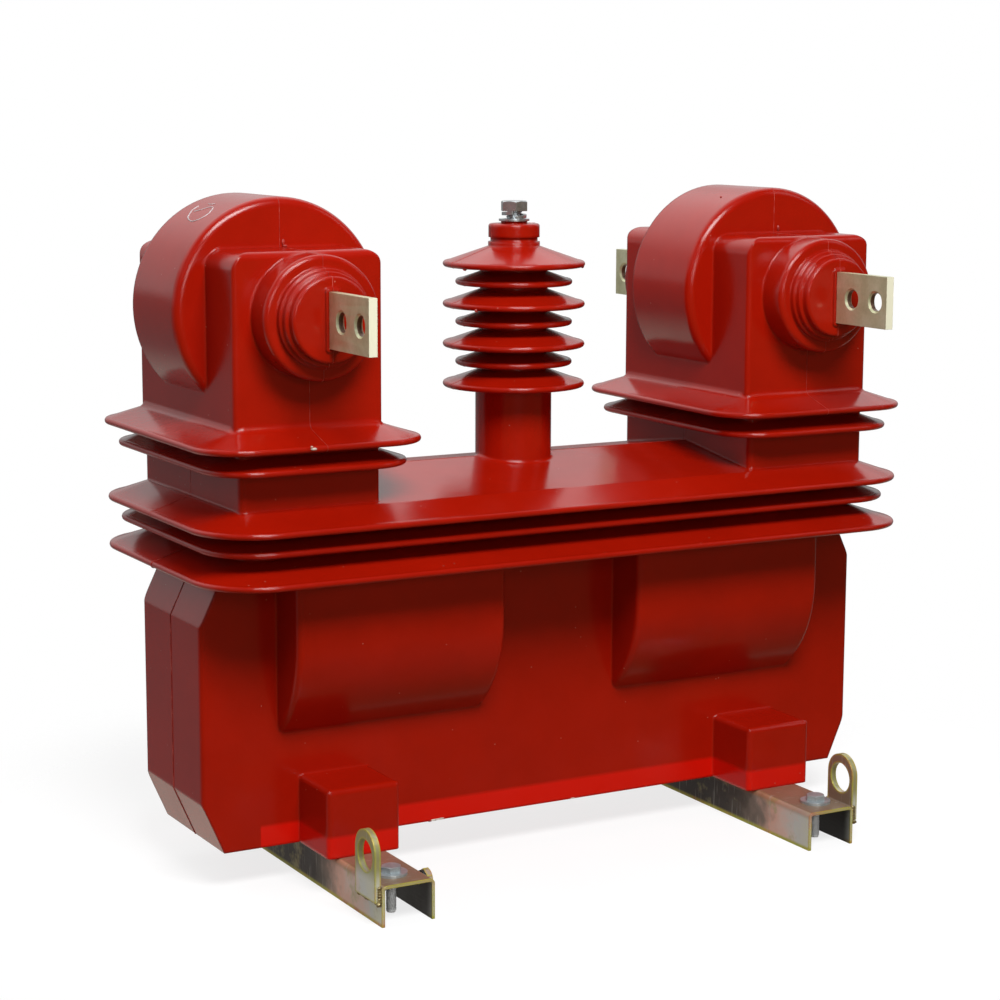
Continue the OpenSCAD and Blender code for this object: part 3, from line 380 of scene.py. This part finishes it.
def yellow_zinc():
    """Yellow passivated zinc: grey ends, pink and brown further in, then painted shade that turns it
    nearly black deep under the body, yellow-green edges.
    """
    material, tree, bsdf = new_material("yellow_zinc")
    x, y, z = split_xyz(tree, object_place(tree))
    along, width = calc(tree, "ABSOLUTE", y), calc(tree, "ABSOLUTE", x)
    off_axis = calc(tree, "ABSOLUTE", calc(tree, "SUBTRACT", width, RAIL_X))

    # tones along the rails, from the ends inwards, with yellow stains; the dark tones deep under the
    # body are painted shade
    inward_tint_and_shade = spread(tree, along, 0.232, 0.075)
    drift = use(tree, MOTTLE, Scale=13.0, Low=-0.16, High=0.16)
    # the last, dark stops of this ramp are painted shade under the body
    tone = ramp(tree, calc(tree, "ADD", inward_tint_and_shade, drift), [
        (0.0, (0.68, 0.69, 0.56)), (0.18, (0.64, 0.66, 0.62)), (0.36, (0.78, 0.58, 0.50)),
        (0.50, (0.76, 0.47, 0.37)), (0.66, (0.27, 0.21, 0.17)), (0.82, (0.12, 0.10, 0.08)),
        (1.0, (0.05, 0.04, 0.035))])
    stain = ramp(tree, use(tree, MOTTLE, Scale=34.0), [
        (0.0, grey(0.0)), (0.66, grey(0.0)), (0.90, grey(0.5)), (1.0, grey(0.7))])
    stained = mix_colour(tree, stain, tone, (0.46, 0.43, 0.20))

    # olive eye plates, dull rail tops
    on_plate = step(tree, width, EYE_FACE_X, EYE_FACE_X + 0.0002)
    olive = product(tree, on_plate, step(tree, z, 0.038, 0.056))
    plates = mix_colour(tree, olive, stained, (0.36, 0.34, 0.17))
    on_web = product(tree, step(tree, z, 0.0372, 0.0379), rest(tree, on_plate))
    web = mix_colour(tree, product(tree, on_web, 0.85), plates, (0.135, 0.165, 0.145))

    # warm bends, then the bright edges
    bend = product(tree, step(tree, z, 0.030, 0.0355), rest(tree, on_plate))
    warm = mix_colour(tree, product(tree, bend, 0.55), web, (0.34, 0.17, 0.08))
    rim = ramp(tree, use(tree, MOTTLE, Scale=21.0), [
        (0.0, (0.42, 0.47, 0.07)), (0.50, (0.54, 0.50, 0.07)), (0.68, (0.60, 0.44, 0.07)),
        (0.84, (0.58, 0.26, 0.10)), (1.0, (0.52, 0.18, 0.14))])
    low_band = step(tree, z, 0.0050, 0.0012)
    end_band = product(tree, step(tree, along, 0.2325, 0.2420), 0.9)
    ends = calc(tree, "MAXIMUM", low_band, end_band)
    bands = calc(tree, "MAXIMUM", ends, edge_mask(tree, 0.0036, 0.004, 0.05))
    coloured = mix_colour(tree, bands, warm, rim)

    # pale runs, and painted shade that makes the inside of the channel nearly black
    runs = ramp(tree, use(tree, BRUSH, Stretch=(60.0, 420.0, 30.0)), [
        (0.0, grey(0.0)), (0.80, grey(0.0)), (1.0, grey(0.35))])
    streaked = mix_colour(tree, runs, coloured, (0.55, 0.55, 0.50))
    # painted shade: near black deep inside the channel
    inside = product(tree, step(tree, off_axis, 0.02372, 0.02362), step(tree, z, 0.03530, 0.03520))
    depth = product(tree, inside, step(tree, along, 0.2440, 0.2150))
    join(tree, mix_colour(tree, depth, streaked, (0.010, 0.009, 0.008)), bsdf.inputs["Base Color"])

    bsdf.inputs["Metallic"].default_value = 0.35
    cloudy_gloss(tree, bsdf, 50.0, 0.30, 0.46)
    soft_normal(tree, bsdf, 0.0008, use(tree, BRUSH, Stretch=(500.0, 60.0, 500.0)), 0.12, 0.0004)
    return material


def bright_steel(name, low, high, rough, metallic, painted_light_below=None):
    """Plated or stainless steel; below a given height it is painted paler and not metallic, as painted
    light.
    """
    material, tree, bsdf = new_material(name)
    tone = cloudy_base(tree, bsdf, 120.0, low, high)
    bsdf.inputs["Metallic"].default_value = metallic
    if painted_light_below is not None:
        z = split_xyz(tree, object_place(tree))[2]
        # painted light: paler and not metallic below the given height
        pale = step(tree, z, painted_light_below, painted_light_below - 0.0005)
        join(tree, mix_colour(tree, pale, tone, (0.90, 0.92, 0.92)), bsdf.inputs["Base Color"])
        join(tree, product(tree, rest(tree, pale), metallic), bsdf.inputs["Metallic"])
    cloudy_gloss(tree, bsdf, 200.0, rough, rough + 0.14)
    soft_normal(tree, bsdf, 0.0004, use(tree, BRUSH, Stretch=(900.0, 900.0, 120.0)), 0.10, 0.0002)
    return material


def plain_finish(name, low, high, rough, metallic=0.0, scale=150.0):
    """One slightly cloudy tone and gloss."""
    material, tree, bsdf = new_material(name)
    cloudy_base(tree, bsdf, scale, low, high)
    bsdf.inputs["Metallic"].default_value = metallic
    cloudy_gloss(tree, bsdf, scale * 2, rough - 0.06, rough + 0.08)
    return material


SEAM = seam_resin()
CHIP = pale_filler("chip_filler", (0.42, 0.34, 0.26), (0.80, 0.74, 0.66), 0.7)
CHALK = pale_filler("chalk", (0.40, 0.36, 0.37), (0.66, 0.64, 0.65), 0.9)
ZINC = yellow_zinc()
STEEL = bright_steel("bright_steel", (0.44, 0.47, 0.49), (0.62, 0.65, 0.66), 0.24, 0.9)
# the bolt threads below the rails' webs are painted pale as painted light
BLUE_ZINC = bright_steel("clear_zinc", (0.36, 0.41, 0.43), (0.54, 0.59, 0.61), 0.28, 0.60, WEB_UNDER_Z)
WELD = plain_finish("weld", (0.20, 0.15, 0.08), (0.50, 0.42, 0.20), 0.40, 0.8, 260.0)

FINISH_OF_SLOT = {
    "red_resin": red_resin(),
    "plated_bar": plated_bar(),
    "core_steel": plain_finish("core_steel", (0.10, 0.105, 0.11), (0.17, 0.17, 0.18), 0.45, 0.9),
    "copper_winding": plain_finish("copper_winding", (0.42, 0.17, 0.08), (0.56, 0.25, 0.12), 0.42, 0.9),
    "brass": plain_finish("brass", (0.46, 0.32, 0.11), (0.62, 0.46, 0.19), 0.34, 1.0),
    "yellow_zinc": ZINC,
    "bright_steel": STEEL,
    "dark_rubber": plain_finish("dark_rubber", grey(0.010), grey(0.030), 0.75),
    "black_plastic": plain_finish("black_plastic", (0.012, 0.012, 0.013), (0.030, 0.030, 0.032), 0.5),
}
for row in frame["record"]["subparts"]:
    node = nodes[row["node"]]
    node.data.materials.clear()
    node.data.materials.append(FINISH_OF_SLOT[row["material_slot"]])
nodes["mount_washers"].data.materials[0] = BLUE_ZINC


# Piece helpers.

def piece(name, bm, finish, replaces=()):
    """Turns a bmesh in the part's frame into a piece that rides on the part."""
    bmesh.ops.remove_doubles(bm, verts=bm.verts, dist=1e-7)
    bmesh.ops.recalc_face_normals(bm, faces=bm.faces)
    mesh = bpy.data.meshes.new(name)
    bm.to_mesh(mesh)
    bm.free()
    mesh.materials.append(finish)
    mesh.shade_smooth()
    mesh.set_sharp_from_angle(angle=math.radians(35))
    obj = bpy.data.objects.new(name, mesh)
    scene.collection.objects.link(obj)
    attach(obj, "root")
    if replaces:
        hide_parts(*replaces)


def shift(x, y, z):
    return Matrix.Translation((x, y, z))


def turn(degrees, axis):
    return Matrix.Rotation(math.radians(degrees), 4, axis)


def edges_within(bm, verts):
    inside = set(verts)
    return [e for e in bm.edges if e.verts[0] in inside and e.verts[1] in inside]


def add_hex_head(bm, flats, height, place):
    """Hexagon head with the round chamfer on its upper face; place is a matrix."""
    low = bmesh.ops.create_circle(bm, cap_ends=False, segments=48, radius=flats / 2)["verts"]
    face_r = 0.475 * flats
    for vert in low:
        off = math.atan2(vert.co.y, vert.co.x) % math.radians(60) - math.radians(30)
        vert.co = vert.co.normalized() * (flats / 2 / math.cos(off))
    ring = edges_within(bm, low)
    all_verts = list(low)
    for level in ("corner", "chamfer", "face"):
        grown = bmesh.ops.extrude_edge_only(bm, edges=ring)["geom"]
        ring = [g for g in grown
                if isinstance(g, bmesh.types.BMEdge) and all(v in grown for v in g.verts)]
        verts = [g for g in grown if isinstance(g, bmesh.types.BMVert)]
        for vert in verts:
            if level == "corner":
                past = max(0.0, vert.co.xy.length - face_r)
                vert.co.z = height - past * math.tan(math.radians(28))
            else:
                reach = face_r if level == "chamfer" else face_r * 0.9
                vert.co.xy = vert.co.xy.normalized() * reach
                vert.co.z = height
        all_verts += verts
    bmesh.ops.edgeloop_fill(bm, edges=ring)
    bmesh.ops.edgeloop_fill(bm, edges=edges_within(bm, low))
    bmesh.ops.transform(bm, matrix=place, verts=all_verts)


def add_thread(bm, radius, pitch, tall, place, sides=14):
    """Threaded shank: a notch profile screwed along +Z, on a core with closed ends."""
    depth = 0.6 * pitch
    turns = max(1, int(tall / pitch))
    outline = ((radius - depth, 0.0), (radius, 0.45), (radius, 0.55), (radius - depth, 1.0))
    profile = [bm.verts.new(Vector((reach, 0.0, share * pitch))) for reach, share in outline]
    edges = [bm.edges.new(pair) for pair in zip(profile, profile[1:])]
    before = set(bm.verts) - set(profile)
    bmesh.ops.spin(bm, geom=profile + edges, cent=(0, 0, 0), axis=(0, 0, 1),
                   dvec=(0, 0, pitch / sides), angle=math.radians(360 * turns),
                   steps=sides * turns, use_merge=False)
    made = [v for v in bm.verts if v not in before]
    for vert in made:
        vert.co.z = min(max(vert.co.z, 0.0), tall)
    bmesh.ops.remove_doubles(bm, verts=made, dist=1e-6)
    made = [v for v in bm.verts if v not in before]
    core = bmesh.ops.create_cone(bm, cap_ends=True, segments=24, radius1=radius - depth,
                                 radius2=radius - depth, depth=tall,
                                 matrix=shift(0, 0, tall / 2))["verts"]
    bmesh.ops.transform(bm, matrix=place, verts=made + core)


def add_lump(bm, spot, size):
    """A small uneven lump, squeezed to size along x, y, z."""
    made = bmesh.ops.create_icosphere(bm, subdivisions=2, radius=1.0)["verts"]
    for vert in made:
        vert.co *= 1.0 + chance.uniform(-0.12, 0.12)
    bmesh.ops.transform(bm, matrix=shift(*spot) @ Matrix.Diagonal((*size, 1.0)), verts=made)


def bead_from_paths(name, paths, radius, finish):
    """Round beads that follow rows of points, kept inside the part's box."""
    curve = bpy.data.curves.new(name + "_line", "CURVE")
    curve.dimensions = "3D"
    curve.bevel_depth = radius
    curve.bevel_resolution = 1
    curve.use_fill_caps = True
    for points in paths:
        spline = curve.splines.new("POLY")
        spline.points.add(len(points) - 1)
        for point, co in zip(spline.points, points):
            point.co = (*co, 1.0)
    line = bpy.data.objects.new(name + "_line", curve)
    mesh = bpy.data.meshes.new_from_object(line)
    bm = bmesh.new()
    bm.from_mesh(mesh)
    bpy.data.objects.remove(line)
    bpy.data.curves.remove(curve)
    bpy.data.meshes.remove(mesh)
    for vert in bm.verts:
        bounds = zip(vert.co, BOX_LOW, BOX_HIGH)
        vert.co = Vector(max(low, min(high, c)) for c, low, high in bounds)
    piece(name, bm, finish)


# Fasteners.

def mounting_bolts():
    """M10 bolts: plain under the head, then 26 mm of thread."""
    radius, thread = 0.005, 0.026
    tip_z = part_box("mount_bolts")[0].z
    thread_top = tip_z + thread
    bm = bmesh.new()
    for side in (-1, 1):
        for end in (-1, 1):
            x, y = side * BOLT_X, end * SLOT_Y
            add_hex_head(bm, 0.017, 0.0055, shift(x, y, BOLT_SEAT_Z))
            add_thread(bm, radius - 0.0002, 0.0015, thread, shift(x, y, tip_z))
            bmesh.ops.create_cone(bm, cap_ends=True, segments=32, radius1=radius, radius2=radius,
                                  depth=BOLT_SEAT_Z - thread_top,
                                  matrix=shift(x, y, (BOLT_SEAT_Z + thread_top) / 2))
    piece("mount_bolts_threaded", bm, BLUE_ZINC, replaces=["mount_bolts"])


def post_terminal():
    """M16 bolt of the middle terminal and the open spring washer under its head."""
    low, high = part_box("post_bolt")
    head = 0.010
    seat = high.z - head
    bm = bmesh.new()
    add_hex_head(bm, 0.024, head, shift(0, 0, seat) @ turn(8, "Z"))
    add_thread(bm, 0.008, 0.002, seat - low.z, shift(0, 0, low.z), 20)
    piece("post_bolt_threaded", bm, STEEL, replaces=["post_bolt"])

    low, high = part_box("post_spring_washer")
    half, inner, outer, steps, gap = 0.0016, 0.0090, 0.01225, 44, math.radians(16)
    outline = ((inner, -half), (outer, -half), (outer, half), (inner, half))
    bm = bmesh.new()
    corners = [bm.verts.new(Vector((reach, 0, z))) for reach, z in outline]
    section = bm.faces.new(corners)
    rise = (high.z - low.z - 2 * half) / steps
    bmesh.ops.spin(bm, geom=[section] + list(section.edges) + corners, cent=(0, 0, 0),
                   axis=(0, 0, 1), dvec=(0, 0, rise), angle=2 * math.pi - gap, steps=steps,
                   use_merge=False)
    bmesh.ops.holes_fill(bm, edges=bm.edges, sides=4)
    bmesh.ops.transform(bm, matrix=shift(0, 0, low.z + half) @ turn(250, "Z"), verts=bm.verts)
    piece("post_spring_washer_coil", bm, STEEL, replaces=["post_spring_washer"])


def earthing_bolt():
    """M10 bolt that lies along +X in the inner flange of the left rail."""
    low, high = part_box("earth_bolt")
    head = 0.006
    seat = high.x - head
    out = shift(0, (low.y + high.y) / 2, (low.z + high.z) / 2) @ turn(90, "Y")
    bm = bmesh.new()
    add_hex_head(bm, 0.017, head, shift(seat, 0, 0) @ out)
    add_thread(bm, 0.005, 0.0015, seat - low.x, shift(low.x, 0, 0) @ out)
    piece("earth_bolt_threaded", bm, ZINC, replaces=["earth_bolt"])


# Marks of casting and use.

def section_loops(node_name, spot, normal):
    """Closed loops in which a plane cuts a solid, longest first."""
    bm = bmesh.new()
    bm.from_mesh(nodes[node_name].data)
    bmesh.ops.remove_doubles(bm, verts=bm.verts, dist=2e-6)
    bmesh.ops.bisect_plane(bm, geom=bm.verts[:] + bm.edges[:] + bm.faces[:], dist=1e-6,
                           plane_co=spot, plane_no=normal, clear_inner=True, clear_outer=True)
    loops, left = [], dict.fromkeys(bm.edges)
    while left:
        edge = left.popitem()[0]
        path = [edge.verts[0], edge.verts[1]]
        grown = True
        while grown:
            grown = False
            for end in (-1, 0):
                for other in path[end].link_edges:
                    if other in left:
                        del left[other]
                        far = other.other_vert(path[end])
                        path.insert(len(path) if end == -1 else 0, far)
                        grown = True
                        break
        loops.append([v.co.copy() for v in path])
    bm.free()
    loops.sort(key=lambda points: -sum((a - b).length for a, b in zip(points, points[1:])))
    return loops


def open_runs(loops, axis, kind):
    """Runs of a section from which some straight line leads away from the part, by kind."""
    graph = bpy.context.evaluated_depsgraph_get()
    steps = (-2, -1, 0, 1, 2)
    ways = [Vector((x, y, z)).normalized()
            for x in steps for y in steps for z in steps if x or y or z]
    clear = 0.0012
    runs = {}
    for points in loops:
        kinds = []
        edges = list(zip(points, points[1:] + points[:1]))
        for first, second in edges:
            middle = (first + second) / 2
            across = (second - first).cross(Vector(axis)).normalized() * clear
            free = any(not scene.ray_cast(graph, middle + side * across, way)[0]
                       for side in (1, -1) for way in ways)
            kinds.append(kind(middle) if free else None)
        start = next((i for i in range(len(edges)) if kinds[i] != kinds[i - 1]), 0)
        last = None
        for (first, second), now in zip(edges[start:] + edges[:start], kinds[start:] + kinds[:start]):
            if now is not None and now == last:
                runs[now][-1].append(second)
            elif now is not None:
                runs.setdefault(now, []).append([first, second])
            last = now
    return runs


def mould_lines():
    """Fine seams where the moulds met: across each head, along the body, necks and post."""
    for side, node_name in ((-1, "left_head"), (1, "right_head")):
        loops = section_loops(node_name, (side * TOWER_X, 0, 0), (1, 0, 0))
        runs = open_runs(loops, (1, 0, 0), lambda spot: "line")
        bead_from_paths(node_name + "_mould_line", runs["line"], HEAD_SEAM_R, SEAM)
    loops = section_loops("cast_body", (0, 0, 0), (0, 1, 0))
    runs = open_runs(loops, (0, 1, 0),
                     lambda spot: "ends" if abs(spot.x) > 0.30 and spot.z < 0.325 else "line")
    bead_from_paths("cast_body_mould_line", runs["line"], BODY_SEAM_R, SEAM)
    bead_from_paths("cast_body_end_mould_lines", runs["ends"], END_SEAM_R, SEAM)


# Strokes on the left barrel: degrees round the axis from the top, and y.
CHALK_STROKES = {
    "chalk_ring": [(-26.6, 0.0267), (-30.4, 0.0267), (-33.6, 0.0214), (-36.3, 0.0166),
                   (-38.1, 0.0085), (-39.2, -0.0026), (-38.3, -0.0098), (-36.5, -0.0147),
                   (-34.3, -0.0179), (-31.6, -0.0177), (-28.6, -0.0128), (-26.1, -0.0077)],
    "chalk_tick": [(-31.6, 0.0181), (-30.5, 0.0129), (-29.4, 0.0080), (-27.7, 0.0048),
                   (-26.5, 0.0003), (-25.9, -0.0071)],
    "chalk_dash": [(-23.5, 0.0142), (-23.5, 0.0056), (-22.4, 0.0018)],
}


def chalk_mark():
    """Loose chalk ring with a tick inside and a dash beside it."""
    parts = 4
    for name, marks in CHALK_STROKES.items():
        points = []
        for (a0, y0), (a1, y1) in zip(marks, marks[1:]):
            for part in range(parts):
                share = part / parts
                angle = math.radians(a0 + (a1 - a0) * share)
                points.append(Vector((-TOWER_X + BARREL_R * math.sin(angle), y0 + (y1 - y0) * share,
                                      AXIS_Z + BARREL_R * math.cos(angle))))
        bead_from_paths(name, [points], CHALK_R, CHALK)


# Lumps of the casting: place, and half size along x, y, z.
DRIPS = [
    ((-0.2706, -0.0524, 0.5985), (0.0016, 0.0010, 0.0030)),
    ((0.2793, -0.0524, 0.5988), (0.0016, 0.0010, 0.0030)),
    ((-0.2690, -0.0530, 0.5950), (0.0024, 0.0012, 0.0014)),
    ((0.2098, -0.0500, 0.6312), (0.0012, 0.0010, 0.0012)),
    ((0.2444, -0.0521, 0.5136), (0.0012, 0.0008, 0.0012)),
    ((-0.0645, -0.0180, 0.5655), (0.0022, 0.0016, 0.0018)),
    ((0.0520, -0.0440, 0.5660), (0.0018, 0.0014, 0.0016)),
    ((-0.0600, -0.0330, 0.5265), (0.0020, 0.0016, 0.0018)),
    ((-0.1310, -0.0713, 0.0383), (0.0022, 0.0010, 0.0010)),
]
CHIPS = [
    ((-0.2888, -0.1542, 0.4228), (0.0030, 0.0009, 0.0011)),
    ((-0.2905, -0.1536, 0.4248), (0.0012, 0.0008, 0.0008)),
    ((-0.1250, -0.0713, 0.0386), (0.0060, 0.0007, 0.0010)),
    ((-0.1190, -0.0713, 0.0390), (0.0040, 0.0006, 0.0008)),
    ((0.0300, -0.0713, 0.0383), (0.0030, 0.0006, 0.0006)),
]


def small_flaws():
    """Drips, flash and chips that the casting shows."""
    for name, lumps, finish in (("casting_drips", DRIPS, SEAM), ("casting_chips", CHIPS, CHIP)):
        bm = bmesh.new()
        for spot, size in lumps:
            add_lump(bm, spot, size)
        piece(name, bm, finish)


def weld_beads():
    """Weld along the foot and sides of each lifting eye."""
    foot_size, side_size = (0.0028, 0.0024, 0.0023), (0.0024, 0.0018, 0.0021)
    bm = bmesh.new()
    for side in (-1, 1):
        face = side * (RAIL_X + RAIL_W / 2)
        for end in (-1, 1):
            for number in range(15):
                along = end * EYE_Y + (number / 7 - 1) * (EYE_HALF + 0.001)
                out = face + side * chance.uniform(0.0012, 0.0026)
                up = EYE_FOOT - 0.0006 + chance.uniform(-0.0010, 0.0004)
                add_lump(bm, (out, along, up), foot_size)
            for edge in (-1, 1):
                along = end * EYE_Y + edge * (EYE_HALF + 0.0004)
                for number in range(6):
                    up = EYE_FOOT + 0.001 + number * 0.0024
                    add_lump(bm, (face + side * 0.0014, along, up), side_size)
    piece("eye_welds", bm, WELD)


mounting_bolts()
post_terminal()
earthing_bolt()
mould_lines()
chalk_mark()
small_flaws()
weld_beads()


# Stage. The room that the part mirrors is bright behind, dark in front and dull on the left.

BACK_LOW, BACK_HIGH = grey(0.66), grey(1.40)
ROOM = grey(0.03)
FAR_FLOOR, NEAR_FLOOR, FRONT_FLOOR = grey(0.21), (0.80, 0.72, 0.62), (0.16, 0.10, 0.045)
LEFT_WALL = grey(0.13)
# name: place, aim, width, height, watts
SOFT_BOXES = {
    "top_box": ((0.0, -0.2, 2.5), (0, 0, 0.3), 1.8, 1.2, 1.5),
    "key_box": ((-0.42, -1.65, 2.15), (0, 0, 0.3), 1.2, 0.8, 66.0),
    "left_box": ((-2.0, -1.0, 1.7), (0, 0, 0.35), 0.7, 1.0, 1.0),
    "right_box": ((1.9, -1.3, 1.8), (0, 0, 0.35), 0.7, 1.0, 3.0),
    "front_box": ((-0.7, -2.7, 1.0), (-0.1, 0, 0.30), 0.8, 0.6, 10.0),
}
FLOOR_R, FADE_START, FADE_END = 0.70, 0.42, 0.68


def floor():
    """Round pale table top that fades out into the white backdrop; mirrors look through it."""
    bm = bmesh.new()
    bmesh.ops.create_circle(bm, cap_ends=True, segments=96, radius=FLOOR_R)
    mesh = bpy.data.meshes.new("floor")
    bm.to_mesh(mesh)
    bm.free()
    material, tree, bsdf = new_material("pale_floor")
    rays = add(tree, "ShaderNodeLightPath").outputs
    seen = ramp(tree, use(tree, MOTTLE, Scale=1.5), [(0.0, grey(0.22)), (1.0, grey(0.24))])
    tone = mix_colour(tree, rays["Is Camera Ray"], (0.42, 0.40, 0.38), seen)
    join(tree, tone, bsdf.inputs["Base Color"])
    bsdf.inputs["Roughness"].default_value = 0.9
    bsdf.inputs["Specular IOR Level"].default_value = 0.0
    bsdf.inputs["Emission Color"].default_value = (1.0, 1.0, 1.0, 1.0)
    join(tree, product(tree, rays["Is Camera Ray"], 0.78), bsdf.inputs["Emission Strength"])
    fade = spread(tree, length(tree, object_place(tree)), FADE_START, FADE_END, 1.0, 0.0, True)
    shown = calc(tree, "SUBTRACT", fade, rays["Is Glossy Ray"], clamp=True)
    join(tree, shown, bsdf.inputs["Alpha"])
    mesh.materials.append(material)
    obj = bpy.data.objects.new("floor", mesh)
    scene.collection.objects.link(obj)


def studio():
    """White backdrop to the camera, the painted room to everything else, and soft boxes."""
    world = bpy.data.worlds.new("studio")
    scene.world = world
    world.use_nodes = True
    tree = world.node_tree
    back = tree.nodes["Background"]
    x, y, z = split_xyz(tree, add(tree, "ShaderNodeTexCoord").outputs["Generated"])
    height = spread(tree, z, -1.0, 1.0)
    wall = ramp(tree, height, [
        (0.0, ROOM), (0.14, NEAR_FLOOR), (0.26, NEAR_FLOOR), (0.35, FAR_FLOOR), (0.50, FAR_FLOOR),
        (0.53, BACK_LOW), (0.66, BACK_LOW), (0.76, BACK_HIGH), (1.0, BACK_HIGH)])
    front, left = (
        ramp(tree, height, [(0.0, FRONT_FLOOR), (0.49, FRONT_FLOOR), (0.52, tone), (1.0, tone)])
        for tone in (ROOM, LEFT_WALL))
    around = mix_colour(tree, step(tree, x, -0.35, -0.75), front, left)
    room = mix_colour(tree, step(tree, y, -0.10, 0.45), around, wall)
    rays = add(tree, "ShaderNodeLightPath").outputs
    seen = mix_colour(tree, rays["Is Camera Ray"], room, grey(1.0))
    join(tree, seen, back.inputs["Color"])
    back.inputs["Strength"].default_value = 1.0
    for name, (spot, aim, width, tall, power) in SOFT_BOXES.items():
        data = bpy.data.lights.new(name, "AREA")
        data.shape = "RECTANGLE"
        data.size, data.size_y, data.energy = width, tall, power
        lamp = bpy.data.objects.new(name, data)
        scene.collection.objects.link(lamp)
        lamp.location = spot
        lamp.rotation_mode = "QUATERNION"
        lamp.rotation_quaternion = (Vector(aim) - Vector(spot)).to_track_quat("-Z", "Y")


# Camera, as fitted to the picture of 1000 x 1000 points.
FOCAL_POINTS, PICTURE_POINTS, SENSOR_MM = 2416.292, 1000.0, 36.0
AZIMUTH, RISE, ROLL = (math.radians(a) for a in (-29.21337, 9.43227, 0.21074))
AIM_SHIFT, AIM_Z, DISTANCE = -0.012813, 0.332178, 2.413794


def photo_camera():
    data = bpy.data.cameras.new("camera")
    data.sensor_width = SENSOR_MM
    data.lens = FOCAL_POINTS * SENSOR_MM / PICTURE_POINTS
    data.clip_start, data.clip_end = 0.05, 200.0
    cam = bpy.data.objects.new("camera", data)
    scene.collection.objects.link(cam)
    back = Vector((math.sin(AZIMUTH) * math.cos(RISE), -math.cos(AZIMUTH) * math.cos(RISE),
                   math.sin(RISE)))
    flat = Vector((math.cos(AZIMUTH), math.sin(AZIMUTH), 0.0))
    tall = back.cross(flat)
    right = flat * math.cos(ROLL) + tall * math.sin(ROLL)
    up = tall * math.cos(ROLL) - flat * math.sin(ROLL)
    spot = flat * AIM_SHIFT + Vector((0, 0, AIM_Z)) + back * DISTANCE
    facing = Matrix((right, up, back)).transposed().to_4x4()
    cam.matrix_world = Matrix.Translation(spot) @ facing
    scene.camera = cam


floor()
studio()
photo_camera()
scene.view_settings.view_transform = "Standard"
